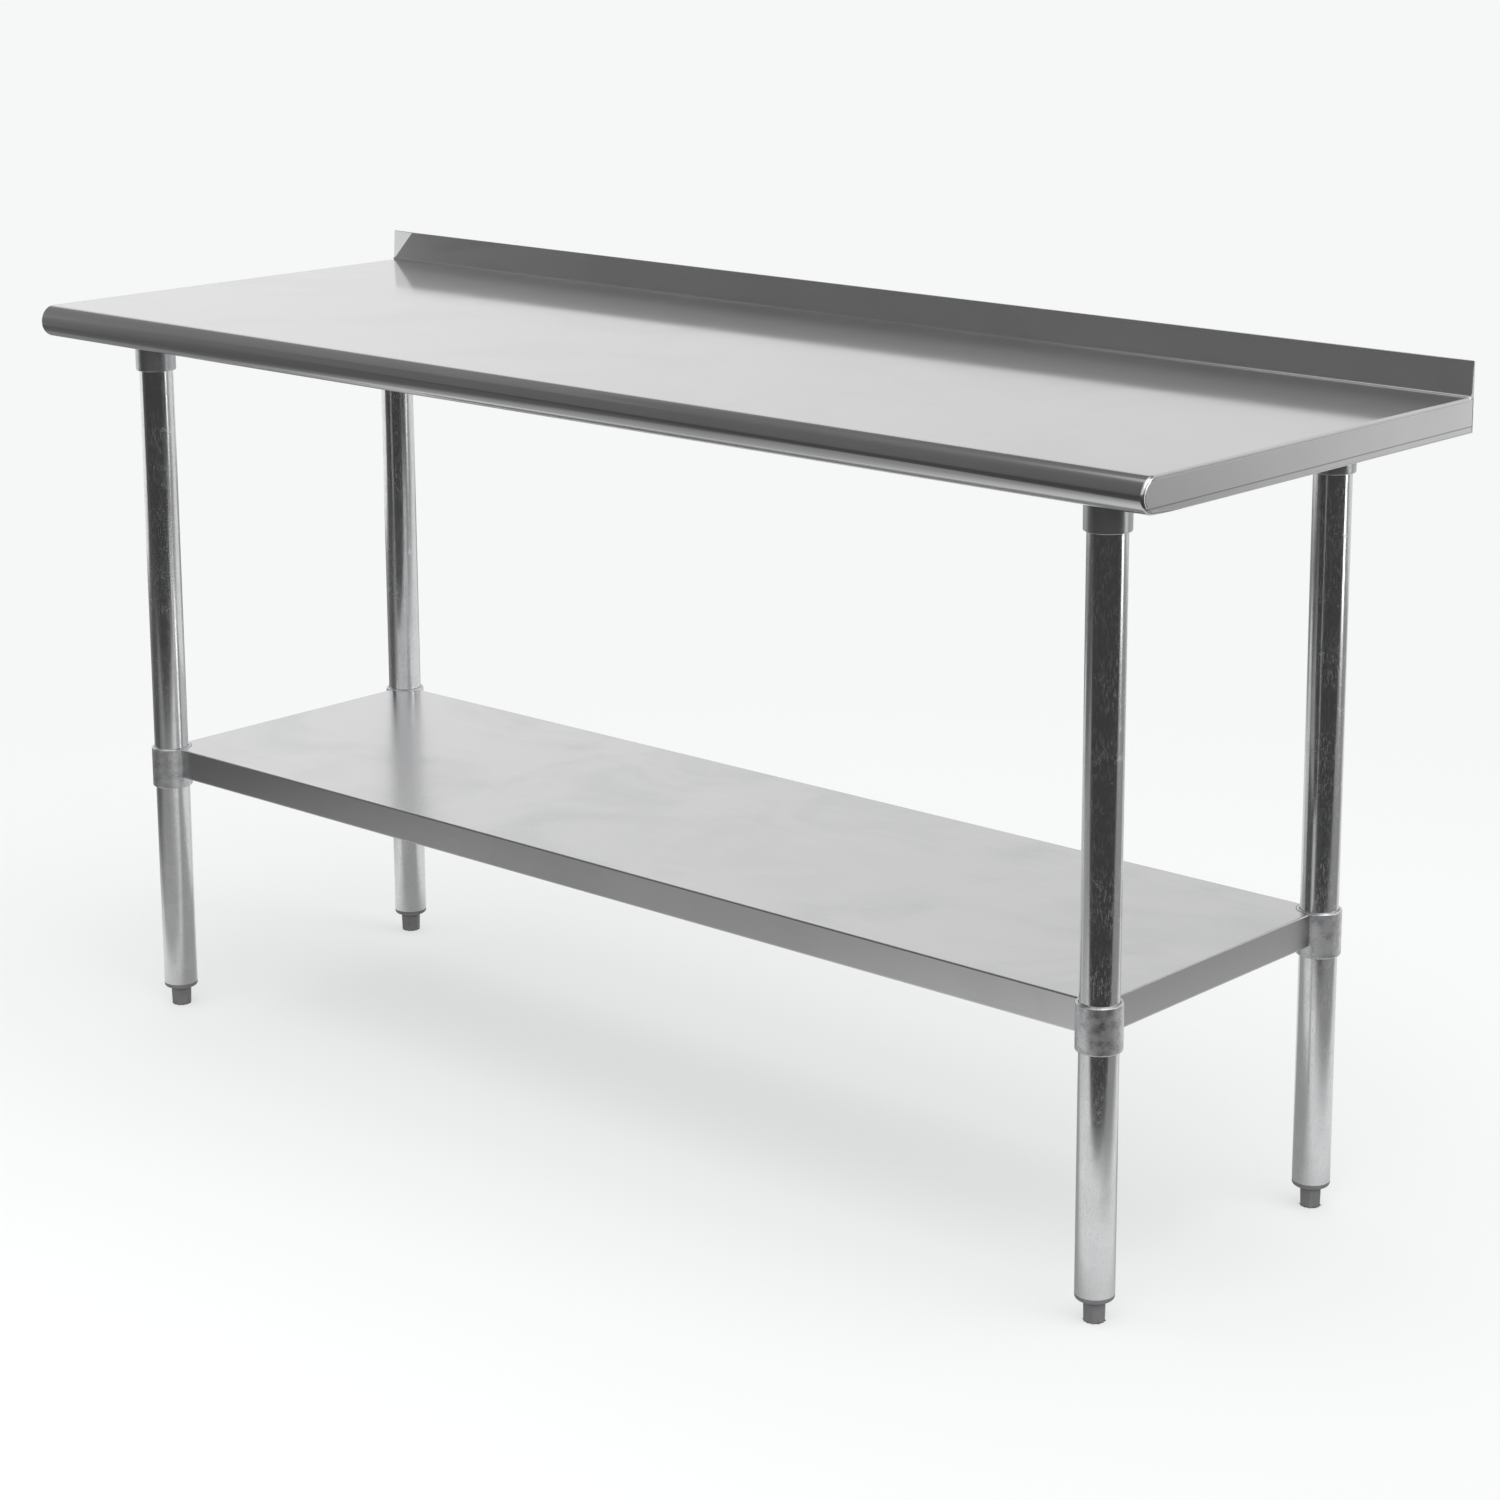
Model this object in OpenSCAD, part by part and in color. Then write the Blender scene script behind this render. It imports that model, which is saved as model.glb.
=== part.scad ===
// Stainless work table with a rolled front edge, a low rear splash, four round legs
// and an undershelf that slides on them. X runs along the table, Y to the back, Z up.
// The origin is on the floor, under the middle of the table.

/* [Worktop] */
// Length of the worktop
table_l = 1650; // [1000:10:2400]
// Depth of the worktop over the splash
table_d = 580; // [450:5:900]
// Height of the working surface above the floor
work_h = 890; // [700:5:1000]
// Thickness of the worktop sheet
top_t = 1.2; // [0.8:0.1:2]
// Height of the rolled front edge and of the turned-down sides
edge_h = 38; // [30:1:60]
// Width of the hems folded inwards under the edges
hem_w = 12; // [8:1:20]

/* [Splash] */
// Height of the splash above the working surface
splash_h = 38; // [25:1:150]
// Depth of the splash's top return
splash_t = 4; // [4:0.5:30]
// Drop of the lip behind the top return
splash_lip = 12; // [6:1:20]
// Inside radius where the worktop turns up into the splash
splash_r = 3; // [1.5:0.5:6]

/* [Legs] */
// Outer diameter of the leg tube
leg_d = 41.3; // [32:0.1:52]
// Wall of the leg tube
leg_wall = 1.5; // [1.2:0.1:3]
// From the worktop's end to the leg's centre
leg_inset_end = 105; // [80:1:200]
// From the front edge to the front leg's centre
leg_inset_front = 90; // [70:1:150]
// From the splash's back to the rear leg's centre
leg_inset_back = 99; // [70:1:150]

/* [Worktop channels] */
// Width of a hat channel's web
channel_w = 60; // [48:1:80]
// Height of a hat channel under the worktop
channel_h = 25; // [20:1:40]
// Width of each flange of a hat channel
flange_w = 20; // [16:1:30]
// Thickness of the channels' steel
channel_t = 1.5; // [1:0.1:2.5]
// Gap between a channel's end and what it stops short of
channel_gap = 4; // [2:1:10]

/* [Leg sockets] */
// Margin of the socket's plate outside its bolts, across the channel
plate_margin_x = 9; // [6:1:14]
// Margin of the socket's plate outside its bolts, along the channel
plate_margin_y = 12; // [8:1:24]
// Thickness of the socket's plate
plate_t = 4; // [3:0.5:6]
// Depth of the socket below its plate
socket_h = 47; // [35:1:80]
// Wall of the socket's tube
socket_wall = 3.2; // [2.5:0.1:5]
// Gap all round between a leg and the socket or collar on it
leg_gap = 0.35; // [0.2:0.05:0.8]

/* [Fasteners] */
// Diameter of the studs welded under the worktop
stud_d = 6; // [5:1:8]
// Length of those studs
stud_l = 14; // [12:1:20]
// Distance between the studs along a cross channel
stud_pitch = 300; // [120:10:360]
// Diameter of the bolts that hold the sockets
bolt_d = 8; // [5:1:10]
// Length of those bolts under the head
bolt_l = 16; // [14:1:20]
// Gap between a weld nut's corner and the channel's wall
nut_gap = 1; // [0.5:0.5:3]
// Gap between a bolt head's corner and the socket's tube
head_gap = 2.3; // [1:0.1:8]
// Diameter of the set screws that lock the legs
set_d = 8; // [5:1:8]
// How far a set screw stands out of its wall
set_out = 3; // [0:1:6]
// Gap between a backed-off set screw's tip and the leg
set_tip_gap = 0.3; // [0.2:0.1:1]
// Gap all round between a thread and its tapped hole
thread_gap = 0.05; // [0.02:0.01:0.08]
// Gap all round between a stud or bolt and a plain hole
hole_gap = 0.5; // [0.2:0.1:1]

/* [Undershelf] */
// Height of the shelf's surface above the floor
shelf_z = 337; // [200:1:500]
// Thickness of the shelf's sheet
shelf_t = 1.2; // [0.8:0.1:2]
// Height of the shelf's turned-down edges
shelf_edge_h = 36.5; // [28:0.5:60]
// Width of the hems under the shelf's edges
shelf_hem_w = 12; // [8:1:20]
// How far the shelf reaches past the legs' centre lines
shelf_over = 3; // [0:0.5:8]
// Height of the stiffening channel under the shelf
shelf_channel_h = 20; // [15:1:26]
// From the shelf's end to the stiffening channel's end
shelf_channel_inset = 70; // [60:1:150]

/* [Shelf collars] */
// Height of a collar
collar_h = 50; // [42:1:70]
// Wall of a collar
collar_wall = 3.3; // [2.5:0.1:5]
// How far a collar stands above the shelf's surface
collar_rise = 1; // [0:0.5:4]
// Gap between a collar and the shelf's notched corner
notch_gap = 0.8; // [0.3:0.1:2]
// Length of the casting's arm under the shelf
arm_l = 46; // [30:1:80]
// Thickness of the arm
arm_t = 8; // [5:1:12]
// Height of the arm's tip
arm_tip_h = 7; // [5:1:10]
// From the collar's lower rim to the arm's root
arm_root_z = 16; // [10:1:24]
// Side of the square pad that is welded to the shelf
pad_w = 30; // [20:1:40]
// Thickness of the pad
pad_t = 4; // [3:0.5:6]
// From the collar's lower rim to its set screw
collar_set_z = 8; // [7:1:12]

/* [Feet] */
// Distance across the flats of the hex foot
foot_af = 22; // [20:1:32]
// Height of the hex foot
foot_h = 24; // [18:1:40]
// Diameter of the threaded stud in the foot
foot_stud_d = 12; // [8:1:14]
// Depth of the stud inside the foot
foot_stud_in = 14; // [10:1:16]
// Height of the plastic insert's ring under the leg
ring_h = 5.5; // [4:0.5:10]
// Rounding of the ring's lower edge
ring_r = 4; // [1:0.5:4]
// Length of the insert inside the leg
insert_l = 30; // [25:1:50]
// Gap all round between the insert and the leg's bore
insert_gap = 0.05; // [0.02:0.01:0.2]
// Travel of the foot, from screwed in to screwed out
foot_travel = 24.5; // [10:0.5:40]
// Thread left in the insert when the foot is screwed out
foot_grip = 11; // [8:1:20]
// Gap between the foot and the ring when screwed in
foot_gap = 0.3; // [0.2:0.1:1]

/* [Hidden] */
$fn = 64;

// The four legs: name, side along X and side along Y
CORNERS = [["fl", -1, -1], ["fr", 1, -1], ["bl", -1, 1], ["br", 1, 1]];
ENDS = [["left", -1], ["right", 1]];

function per_corner(stem) = [for (c = CORNERS) str(stem, c[0])];

// A little extra on every cutting shape
cut = 1;

// Worktop
front_y = -table_d / 2;
back_y = table_d / 2;
face_y = back_y - splash_t;
nose_r = edge_h / 2;
nose_y = front_y + nose_r;
nose_z = work_h - nose_r;
edge_z = work_h - edge_h;
splash_z = work_h + splash_h;
under_z = work_h - top_t;

// Legs
leg_x = table_l / 2 - leg_inset_end;
leg_front_y = front_y + leg_inset_front;
leg_back_y = back_y - leg_inset_back;
leg_mid_y = (leg_front_y + leg_back_y) / 2;
leg_span_y = leg_back_y - leg_front_y;
leg_bore_r = leg_d / 2 - leg_wall;
sleeve_r = leg_d / 2 + leg_gap;

// Channels and sockets, from the worktop down
web_z = under_z - channel_h;
plate_z = web_z - plate_t;
socket_z = plate_z - socket_h;
socket_r = sleeve_r + socket_wall;
cross_front_y = nose_y + channel_gap;
cross_back_y = face_y - channel_gap;
long_l = 2 * (leg_x - channel_w / 2 - flange_w - channel_gap);
flange_mid = channel_w / 2 + flange_w / 2;
long_stud_end = 60;
long_stud_pitch = (long_l - 2 * long_stud_end) / 3;

// Hardware in proportion to its thread
washer_d = 2 * stud_d;
washer_t = 1.6;
stud_nut_af = 5 / 3 * stud_d;
stud_nut_h = 0.85 * stud_d;
bolt_af = 1.625 * bolt_d;
bolt_head_h = 0.66 * bolt_d;
bolt_nut_h = 0.8 * bolt_d;
bolt_corner_r = bolt_af / cos(30) / 2;
set_hex_af = set_d / 2;

// A socket's plate, whose bolts fit in the channel and clear the socket's tube
bolt_pitch_x = channel_w - 2 * (channel_t + bolt_corner_r + nut_gap);
bolt_pitch_y = 2 * (socket_r + bolt_corner_r + head_gap);
plate_w = bolt_pitch_x + 2 * plate_margin_x;
plate_l = bolt_pitch_y + 2 * plate_margin_y;

// Undershelf
shelf_l = 2 * (leg_x + shelf_over);
shelf_w = leg_span_y + 2 * shelf_over;
shelf_low_z = shelf_z - shelf_edge_h;
shelf_under_z = shelf_z - shelf_t;
collar_r = sleeve_r + collar_wall;
collar_top_z = shelf_z + collar_rise;
collar_z = collar_top_z - collar_h;

// Feet
ring_z = foot_h + foot_gap;
leg_z = ring_z + ring_h;
foot_stud_top_z = ring_z + foot_travel + foot_grip;

// Places of the studs under the worktop
stud_places = concat(
    [for (x = [-leg_x, leg_x], s = [-1, 1], e = [-1, 1])
        [x + s * flange_mid, leg_mid_y + e * stud_pitch / 2]],
    [for (k = [-1.5 : 1 : 1.5], s = [-1, 1])
        [k * long_stud_pitch, leg_mid_y + s * flange_mid]]
);

// Places of the bolts round one leg
bolt_places = [for (i = [-1, 1], j = [-1, 1]) [i * bolt_pitch_x / 2, j * bolt_pitch_y / 2]];

// Moves its children to the centre line of one leg
module at_leg(corner) {
    translate([corner[1] * leg_x, corner[2] > 0 ? leg_back_y : leg_front_y, 0])
        children();
}

// Repeats its children on all four legs
module at_each_leg() {
    for (corner = CORNERS)
        at_leg(corner)
            children();
}

// Extrudes an outline drawn in Y and Z along X, centred
module along_x(length) {
    translate([-length / 2, 0, 0])
        rotate([90, 0, 90])
            linear_extrude(length)
                children();
}

// A hollow tube standing on z
module tube(outer_r, inner_r, height) {
    difference() {
        cylinder(r = outer_r, h = height);
        translate([0, 0, -cut])
            cylinder(r = inner_r, h = height + 2 * cut);
    }
}

// A hexagonal prism with a round hole through it
module hex_ring(af, hole_r, height) {
    difference() {
        cylinder(d = af / cos(30), h = height, $fn = 6);
        translate([0, 0, -cut])
            cylinder(r = hole_r, h = height + 2 * cut);
    }
}

// A quarter or half of a bent sheet: a ring cut to one side of its centre
module bend(outer_r, inner_r, low, size) {
    intersection() {
        difference() {
            circle(r = outer_r);
            circle(r = inner_r);
        }
        translate(low)
            square(size);
    }
}

// Section of the worktop from the rolled front edge to the lip behind the splash
module worktop_section() {
    bend_z = work_h + splash_r;
    turn_y = face_y - splash_r;
    translate([nose_y, nose_z])
        bend(nose_r, nose_r - top_t, [-nose_r, -nose_r], [nose_r, edge_h]);
    translate([nose_y, edge_z])
        square([hem_w, top_t]);
    translate([nose_y, under_z])
        square([turn_y - nose_y, top_t]);
    translate([turn_y, bend_z])
        bend(splash_r + top_t, splash_r, [0, -splash_r - top_t], [splash_r + top_t, splash_r + top_t]);
    translate([face_y, bend_z])
        square([top_t, splash_z - bend_z]);
    translate([face_y, splash_z - top_t])
        square([splash_t, top_t]);
    translate([back_y - top_t, splash_z - splash_lip])
        square([top_t, splash_lip]);
}

// Outline of a turned-down side, with its round front end and the splash's end
module side_outline() {
    translate([nose_y, nose_z])
        circle(r = nose_r);
    translate([nose_y, edge_z])
        square([back_y - nose_y, edge_h]);
    translate([face_y, edge_z])
        square([splash_t, edge_h + splash_h]);
}

module worktop_sheet() {
    color("#c9ccce") {
        along_x(table_l)
            worktop_section();
        for (side = [-1, 1]) {
            translate([side * (table_l - top_t) / 2, 0, 0])
                along_x(top_t)
                    side_outline();
            // hem under the side
            translate([side * (table_l - hem_w) / 2, (nose_y + back_y) / 2, edge_z + top_t / 2])
                cube([hem_w, back_y - nose_y, top_t], center = true);
            // flange turned in behind the side
            translate([side * (table_l - hem_w) / 2, back_y - top_t / 2, (edge_z + splash_z) / 2])
                cube([hem_w, top_t, splash_z - edge_z], center = true);
        }
    }
}

// Section of a hat channel whose flanges lie on z = 0 and whose web hangs below
module hat_section(height) {
    half = channel_w / 2;
    translate([-half, -height])
        square([channel_w, channel_t]);
    for (side = [-1, 1]) {
        translate([side * (half - channel_t / 2), -height / 2])
            square([channel_t, height], center = true);
        translate([side * (half + flange_w / 2 - channel_t / 2), -channel_t / 2])
            square([flange_w + channel_t, channel_t], center = true);
    }
}

// Clearance holes for all the studs under the worktop
module stud_holes() {
    for (place = stud_places)
        translate([place[0], place[1], under_z - channel_t - cut])
            cylinder(d = stud_d + 2 * hole_gap, h = channel_t + 2 * cut, $fn = 32);
}

module long_channel() {
    color("#b4b8ba")
        difference() {
            translate([0, leg_mid_y, under_z])
                along_x(long_l)
                    hat_section(channel_h);
            stud_holes();
        }
}

module cross_channel(side) {
    color("#b4b8ba")
        difference() {
            translate([side * leg_x, (cross_front_y + cross_back_y) / 2, under_z])
                rotate([0, 0, 90])
                    along_x(cross_back_y - cross_front_y)
                        hat_section(channel_h);
            stud_holes();
            for (leg_y = [leg_front_y, leg_back_y], place = bolt_places)
                translate([side * leg_x + place[0], leg_y + place[1], web_z - cut])
                    cylinder(d = bolt_d + 2 * hole_gap, h = channel_t + 2 * cut, $fn = 32);
        }
}

module channel_studs() {
    color("#a9adb0")
        for (place = stud_places)
            translate([place[0], place[1], under_z - stud_l])
                cylinder(d = stud_d, h = stud_l, $fn = 32);
}

module channel_washers() {
    color("#bfc3c6")
        for (place = stud_places)
            translate([place[0], place[1], under_z - channel_t - washer_t])
                tube(washer_d / 2, stud_d / 2 + hole_gap, washer_t, $fn = 32);
}

module channel_nuts() {
    color("#bfc3c6")
        for (place = stud_places)
            translate([place[0], place[1], under_z - channel_t - washer_t - stud_nut_h])
                hex_ring(stud_nut_af, stud_d / 2 + thread_gap, stud_nut_h);
}

// A tapped hole, or the set screw in it, pointing to the back from a leg's centre
module set_screw_shape(radius, from, to) {
    rotate([-90, 0, 0])
        translate([0, 0, from])
            cylinder(r = radius, h = to - from, $fn = 32);
}

module leg_socket(corner) {
    color("#a4a8aa")
        at_leg(corner)
            difference() {
                union() {
                    translate([-plate_w / 2, -plate_l / 2, plate_z])
                        cube([plate_w, plate_l, plate_t]);
                    translate([0, 0, socket_z])
                        tube(socket_r, sleeve_r, socket_h);
                }
                for (place = bolt_places)
                    translate([place[0], place[1], plate_z - cut])
                        cylinder(d = bolt_d + 2 * hole_gap, h = plate_t + 2 * cut, $fn = 32);
                translate([0, 0, socket_z + socket_h / 2])
                    set_screw_shape(set_d / 2 + thread_gap, 0, socket_r + cut);
            }
}

module socket_bolts() {
    color("#8f9396")
        at_each_leg()
            for (place = bolt_places)
                translate([place[0], place[1], plate_z]) {
                    cylinder(d = bolt_d, h = bolt_l, $fn = 32);
                    translate([0, 0, -bolt_head_h])
                        cylinder(d = bolt_af / cos(30), h = bolt_head_h, $fn = 6);
                }
}

module socket_weld_nuts() {
    color("#8f9396")
        at_each_leg()
            for (place = bolt_places)
                translate([place[0], place[1], web_z + channel_t])
                    hex_ring(bolt_af, bolt_d / 2 + thread_gap, bolt_nut_h);
}

// A set screw in a wall whose outside is at wall_r
module set_screw(wall_r) {
    end = wall_r + set_out;
    difference() {
        set_screw_shape(set_d / 2, leg_d / 2 + set_tip_gap, end);
        rotate([-90, 0, 0])
            translate([0, 0, end - set_d / 2])
                cylinder(d = set_hex_af / cos(30), h = set_d, $fn = 6);
    }
}

module socket_set_screws() {
    color("#5c6064")
        at_each_leg()
            translate([0, 0, socket_z + socket_h / 2])
                set_screw(socket_r);
}

module leg(corner) {
    color("#d0d3d5")
        at_leg(corner)
            translate([0, 0, leg_z])
                tube(leg_d / 2, leg_bore_r, plate_z - leg_z);
}

module undershelf_sheet() {
    color("#bcc0c2")
        difference() {
            translate([-shelf_l / 2, leg_front_y - shelf_over, shelf_low_z])
                cube([shelf_l, shelf_w, shelf_edge_h]);
            // the tray's inside, above the hems
            translate([shelf_t - shelf_l / 2, leg_front_y - shelf_over + shelf_t, shelf_low_z + shelf_t])
                cube([shelf_l - 2 * shelf_t, shelf_w - 2 * shelf_t, shelf_edge_h - 2 * shelf_t]);
            // the opening between the hems
            translate([
                shelf_hem_w - shelf_l / 2,
                leg_front_y - shelf_over + shelf_hem_w,
                shelf_low_z - cut
            ])
                cube([shelf_l - 2 * shelf_hem_w, shelf_w - 2 * shelf_hem_w, shelf_t + 2 * cut]);
            at_each_leg()
                translate([0, 0, shelf_low_z - cut])
                    cylinder(r = collar_r + notch_gap, h = shelf_edge_h + 2 * cut);
        }
}

module shelf_channel() {
    color("#b4b8ba")
        translate([0, leg_mid_y, shelf_under_z])
            along_x(shelf_l - 2 * shelf_channel_inset)
                hat_section(shelf_channel_h);
}

// The casting's arm, from the collar to a pad under the shelf
module collar_arm() {
    tip = collar_r + arm_l;
    rotate([90, 0, 0])
        translate([0, 0, -arm_t / 2])
            linear_extrude(arm_t)
                polygon([
                    [sleeve_r + collar_wall / 2, collar_z + arm_root_z],
                    [sleeve_r + collar_wall / 2, shelf_under_z],
                    [tip, shelf_under_z],
                    [tip, shelf_under_z - arm_tip_h]
                ]);
    translate([tip - pad_w, -pad_w / 2, shelf_under_z - pad_t])
        cube([pad_w, pad_w, pad_t]);
}

module shelf_collar(corner) {
    color("#aeb2b4")
        at_leg(corner)
            difference() {
                union() {
                    translate([0, 0, collar_z])
                        tube(collar_r, sleeve_r, collar_h);
                    rotate([0, 0, atan2(-corner[2], -corner[1])])
                        collar_arm();
                }
                translate([0, 0, collar_z + collar_set_z])
                    set_screw_shape(set_d / 2 + thread_gap, 0, collar_r + cut);
            }
}

module collar_set_screws() {
    color("#5c6064")
        at_each_leg()
            translate([0, 0, collar_z + collar_set_z])
                set_screw(collar_r);
}

// Half section of an insert: a ring with a rounded lower edge, and a sleeve in the leg
module insert_section() {
    translate([0, leg_z - cut])
        square([leg_bore_r - insert_gap, insert_l + cut]);
    translate([0, ring_z])
        square([leg_d / 2 - ring_r, ring_h]);
    intersection() {
        translate([0, ring_z])
            square([leg_d / 2, ring_h]);
        union() {
            translate([0, ring_z + ring_r])
                square([leg_d / 2, ring_h]);
            translate([leg_d / 2 - ring_r, ring_z + ring_r])
                circle(r = ring_r);
        }
    }
}

module foot_insert(corner) {
    color("#77797b")
        at_leg(corner)
            difference() {
                rotate_extrude()
                    insert_section();
                translate([0, 0, ring_z - cut])
                    cylinder(r = foot_stud_d / 2 + thread_gap, h = ring_h + insert_l + 2 * cut);
            }
}

module foot_stud(corner) {
    low_z = foot_h - foot_stud_in;
    color("#9da1a4")
        at_leg(corner)
            translate([0, 0, low_z])
                cylinder(d = foot_stud_d, h = foot_stud_top_z - low_z);
}

module hex_foot(corner) {
    color("#6a6c6e")
        at_leg(corner)
            difference() {
                cylinder(d = foot_af / cos(30), h = foot_h, $fn = 6);
                translate([0, 0, foot_h - foot_stud_in - foot_gap])
                    cylinder(r = foot_stud_d / 2 + thread_gap, h = foot_stud_in + foot_gap + cut);
            }
}

worktop_sheet();
long_channel();
channel_studs();
channel_washers();
channel_nuts();
socket_bolts();
socket_weld_nuts();
socket_set_screws();
undershelf_sheet();
shelf_channel();
collar_set_screws();
for (e = ENDS)
    cross_channel(e[1]);
for (c = CORNERS) {
    leg_socket(c);
    leg(c);
    shelf_collar(c);
    foot_insert(c);
    foot_stud(c);
    hex_foot(c);
}
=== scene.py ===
# A stainless work table on a studio floor: the loaded frame holds its hard parts at their
# real places, and each section below makes one piece of it as it is made and fixed.
import math

import bmesh
import bpy
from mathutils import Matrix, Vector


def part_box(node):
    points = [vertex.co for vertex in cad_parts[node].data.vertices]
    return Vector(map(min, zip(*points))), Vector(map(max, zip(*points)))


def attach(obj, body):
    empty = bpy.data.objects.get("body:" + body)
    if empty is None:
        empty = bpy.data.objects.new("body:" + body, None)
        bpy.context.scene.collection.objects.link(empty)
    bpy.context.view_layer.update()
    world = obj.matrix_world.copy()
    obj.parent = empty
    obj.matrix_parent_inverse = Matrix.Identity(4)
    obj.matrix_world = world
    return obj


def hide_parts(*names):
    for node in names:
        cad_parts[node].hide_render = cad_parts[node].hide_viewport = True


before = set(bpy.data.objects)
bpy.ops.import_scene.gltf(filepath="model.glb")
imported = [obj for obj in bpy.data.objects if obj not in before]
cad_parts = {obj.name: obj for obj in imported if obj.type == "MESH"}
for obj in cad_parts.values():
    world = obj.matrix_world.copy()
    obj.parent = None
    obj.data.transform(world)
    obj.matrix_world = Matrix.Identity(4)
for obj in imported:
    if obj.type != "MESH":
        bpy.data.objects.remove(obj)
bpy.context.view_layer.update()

# --- Camera ----------------------------------------------------------------------------
# A long lens stands to the right of the table's front and a little above the worktop.
# The shift only frames the table in the picture.
CAMERA_PLACE = (2.68995, -2.87377, 1.51382)
CAMERA_DIP = 12.365
CAMERA_TURN = 41.059


def choose(*pieces):
    """Leaves edit mode and selects only these objects, with the first one active."""
    if bpy.context.mode != "OBJECT":
        bpy.ops.object.mode_set(mode="OBJECT")
    bpy.ops.object.select_all(action="DESELECT")
    for piece in pieces:
        piece.select_set(True)
    if pieces:
        bpy.context.view_layer.objects.active = pieces[0]


choose()
bpy.ops.object.camera_add(
    location=CAMERA_PLACE,
    rotation=(math.radians(90 - CAMERA_DIP), 0, math.radians(CAMERA_TURN)),
)
camera = bpy.context.object
camera.name = "camera"
camera.data.lens = 84.84
camera.data.sensor_width = 36
camera.data.shift_x = -0.05
camera.data.shift_y = -0.13
bpy.context.scene.camera = camera
bpy.context.scene.view_settings.view_transform = "Standard"

# --- Studio floor and light ------------------------------------------------------------
# A pale floor that fades into the pale backdrop, and soft lights. Bare metal shows what
# stands round it, so it alone sees pale walls at the left and behind, a strip light at
# the right, and a room that is dim in front and bright overhead.


def new_material(name):
    """An empty material, ready for its own nodes, and its node tree."""
    material = bpy.data.materials.new(name)
    material.use_nodes = True
    material.node_tree.nodes.clear()
    return material, material.node_tree


def add_node(tree, kind, values=None, **settings):
    """A node of that kind with its settings, whose inputs take values or other outputs."""
    node = tree.nodes.new(kind)
    for key, value in settings.items():
        setattr(node, key, value)
    for key, value in (values or {}).items():
        if isinstance(value, bpy.types.NodeSocket):
            tree.links.new(value, node.inputs[key])
        else:
            node.inputs[key].default_value = value
    return node


def ramp(tree, value, low, high, low_out=0.0, high_out=1.0):
    """Turns a value between low and high softly into one between low_out and high_out."""
    return add_node(
        tree,
        "ShaderNodeMapRange",
        {"Value": value, "From Min": low, "From Max": high, "To Min": low_out, "To Max": high_out},
        interpolation_type="SMOOTHSTEP",
    ).outputs[0]


def maths(tree, operation, first, second=0.0):
    """One Math node."""
    return add_node(tree, "ShaderNodeMath", {0: first, 1: second}, operation=operation).outputs[0]


def product(tree, first, *others):
    """All the values multiplied."""
    for other in others:
        first = maths(tree, "MULTIPLY", first, other)
    return first


def weighed(tree, *pairs):
    """The sum of each value times its weight."""
    total = 0.0
    for value, weight in pairs:
        total = maths(tree, "ADD", total, maths(tree, "MULTIPLY", value, weight))
    return total


def dimmed(tree, amount, *masks):
    """One, less the amount where all the masks are one."""
    return maths(tree, "SUBTRACT", 1.0, product(tree, *masks, amount))


def object_place(tree):
    """The place on the piece itself."""
    return add_node(tree, "ShaderNodeTexCoord").outputs["Object"]


def object_axes(tree):
    """The X, Y and Z of the place on the piece itself."""
    return add_node(tree, "ShaderNodeSeparateXYZ", {0: object_place(tree)}).outputs


def glowing(tree, colour, strength):
    """Light of that colour and strength."""
    values = {"Color": colour, "Strength": strength}
    return add_node(tree, "ShaderNodeEmission", values).outputs[0]


def mixed_shader(tree, factor, first, second):
    """Two shaders mixed by a factor."""
    return add_node(tree, "ShaderNodeMixShader", {0: factor, 1: first, 2: second}).outputs[0]


def coat(piece, material, shader):
    """Makes the shader the material's surface, and gives the piece the material."""
    add_node(material.node_tree, "ShaderNodeOutputMaterial", {"Surface": shader})
    if piece:
        piece.data.materials.append(material)


def stage_floor(name, z):
    """A wide floor plane at that height, with that name."""
    choose()
    bpy.ops.mesh.primitive_plane_add(size=FLOOR_SIZE, location=(0, 0, z))
    plane = bpy.context.object
    plane.name = name
    return plane


def only_in_mirrors(piece):
    """Hides a stage piece from everything but bright metal."""
    piece.visible_camera = piece.visible_diffuse = piece.visible_shadow = False


FLOOR_SIZE = 80
BACKDROP = (0.925, 0.93, 0.932, 1)
WHITE = (1, 1, 1, 1)
PAPER = (0.82, 0.825, 0.83, 1)

floor = stage_floor("studio_floor", 0)
floor.visible_glossy = False
floor_material, tree = new_material("studio_floor")
distance = add_node(tree, "ShaderNodeVectorMath", {0: object_place(tree)}, operation="LENGTH")
paper = add_node(tree, "ShaderNodeBsdfDiffuse", {"Color": PAPER}).outputs[0]
fade = ramp(tree, distance.outputs["Value"], 0.9, 2.6, 0.66, 1.0)
coat(floor, floor_material, mixed_shader(tree, fade, paper, glowing(tree, BACKDROP, 1.0)))

# What bright metal sees of the floor: white paper under and behind the table, and the
# dark floor of the room beyond the paper's front edge.
CARD_LIGHT = 0.82
CARD_DARK = 0.05
floor_card = stage_floor("floor_reflection", -0.002)
only_in_mirrors(floor_card)
card_material, tree = new_material("floor_reflection")
axes = object_axes(tree)
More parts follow.
